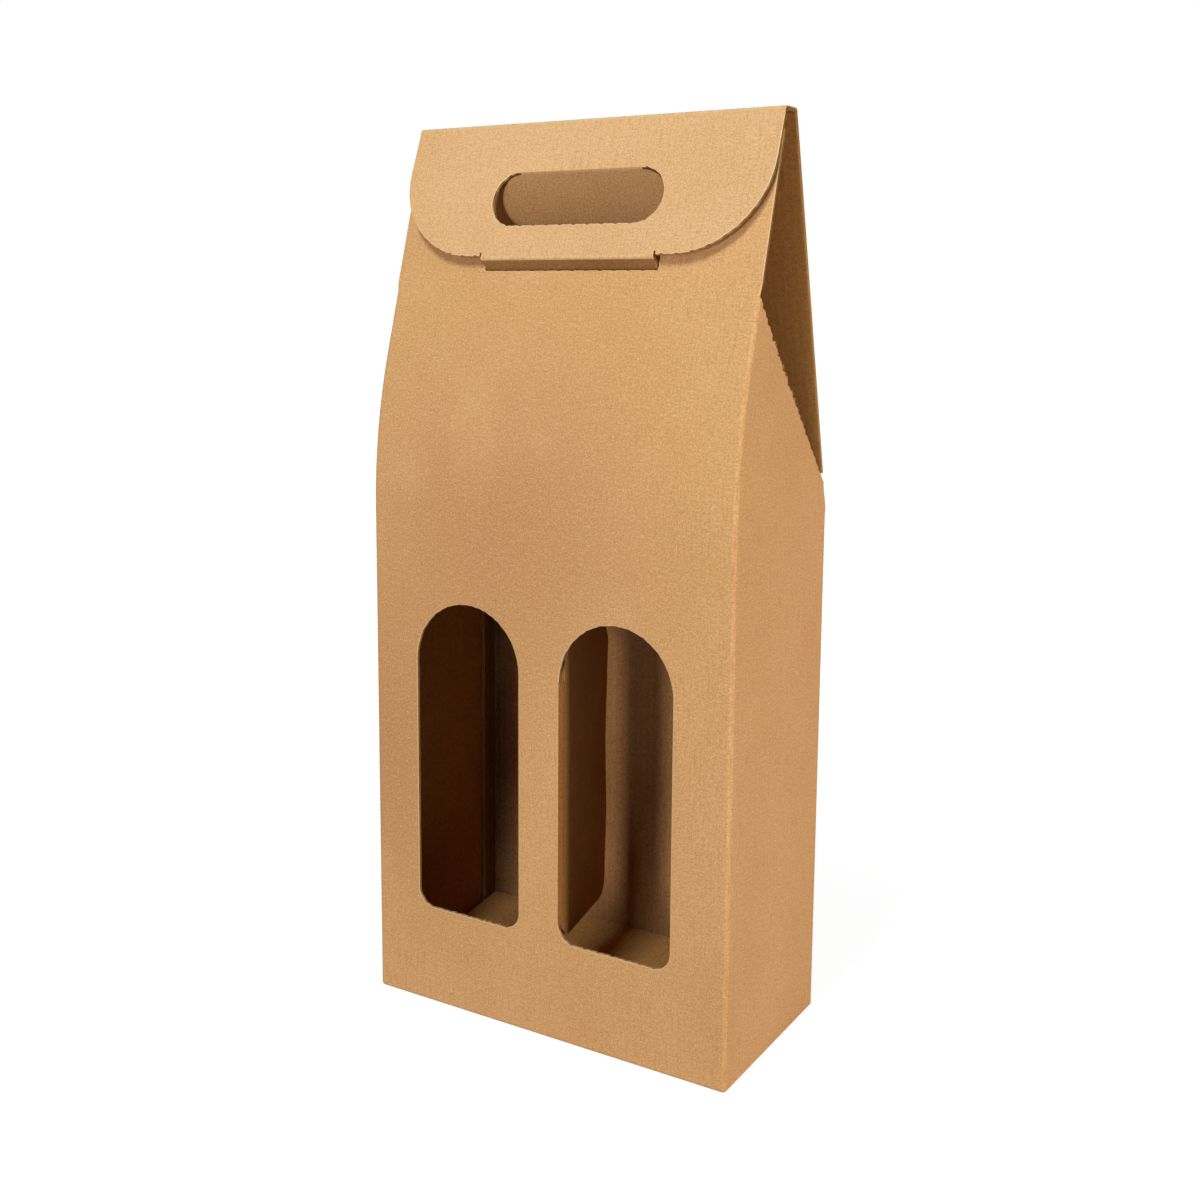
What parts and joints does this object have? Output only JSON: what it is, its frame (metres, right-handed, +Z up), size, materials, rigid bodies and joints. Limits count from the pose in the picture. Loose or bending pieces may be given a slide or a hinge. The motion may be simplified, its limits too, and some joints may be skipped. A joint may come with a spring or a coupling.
{
  "type": "windowed bottle box",
  "caption": "Tall folded board carton for bottles side by side, with arched windows, an inner divider, a sloped top and a tuck-in flap with a handle hole.",
  "frame": {"origin": "middle of the carton's footprint, on the surface it stands on", "axes": "+Z up to the ridge, +Y from the windowed front into the depth, +X along the front to the right"},
  "size_m": [0.18, 0.09, 0.396],
  "materials": {
    "kraft_outside": "matte",
    "kraft_inside": "matte"
  },
  "bodies": {
    "carton": {"front_panel": "kraft_outside", "back_panel": "kraft_outside", "left_side_panel": "kraft_outside", "right_side_panel": "kraft_outside", "glue_seam_strip": "kraft_inside", "bottom_front_flap": "kraft_inside", "bottom_back_flap": "kraft_outside", "bottom_left_flap": "kraft_inside", "bottom_right_flap": "kraft_inside", "bottom_lock_tongue": "kraft_inside"},
    "back_top": {"back_top_panel": "kraft_outside"},
    "ridge": {"ridge_strip": "kraft_outside"},
    "flap": {"closing_flap": "kraft_outside"},
    "tab": {"lock_tab": "kraft_outside"},
    "tongue": {"handle_tongue": "kraft_inside"},
    "divider": {"bottle_divider": "kraft_inside"}
  },
  "joints": [
    {"name": "flap_fold", "type": "hinge", "parent": "ridge", "child": "flap", "pos_m": [0, -0.0068, 0.3944], "axis": [-1, 0, 0], "range_deg": [0, 70.5]},
    {"name": "ridge_fold", "type": "hinge", "parent": "back_top", "child": "ridge", "pos_m": [0, 0.0013, 0.3944], "axis": [-1, 0, 0], "range_deg": [0, 75.8]},
    {"name": "back_top_fold", "type": "hinge", "parent": "carton", "child": "back_top", "pos_m": [0, 0.0434, 0.228], "axis": [-1, 0, 0], "range_deg": [0, 14.2]},
    {"name": "tab_fold", "type": "hinge", "parent": "flap", "child": "tab", "pos_m": [0, -0.0269, 0.33765], "axis": [-1, 0, 0], "range_deg": [0, 64.5]},
    {"name": "tongue_fold", "type": "hinge", "parent": "flap", "child": "tongue", "pos_m": [0, -0.01418, 0.37357], "axis": [1, 0, 0], "range_deg": [-37, 45]},
    {"name": "divider_fold", "type": "hinge", "parent": "carton", "child": "divider", "pos_m": [0.0088, -0.0434, 0.107], "axis": [0, 0, 1], "range_deg": [-101.5, 60]}
  ],
  "couplings": [
    {"joint": "ridge_fold", "follows": "flap_fold", "ratio": 1.0751},
    {"joint": "back_top_fold", "follows": "flap_fold", "ratio": 0.2014},
    {"joint": "tab_fold", "follows": "flap_fold", "ratio": 0.9148}
  ]
}
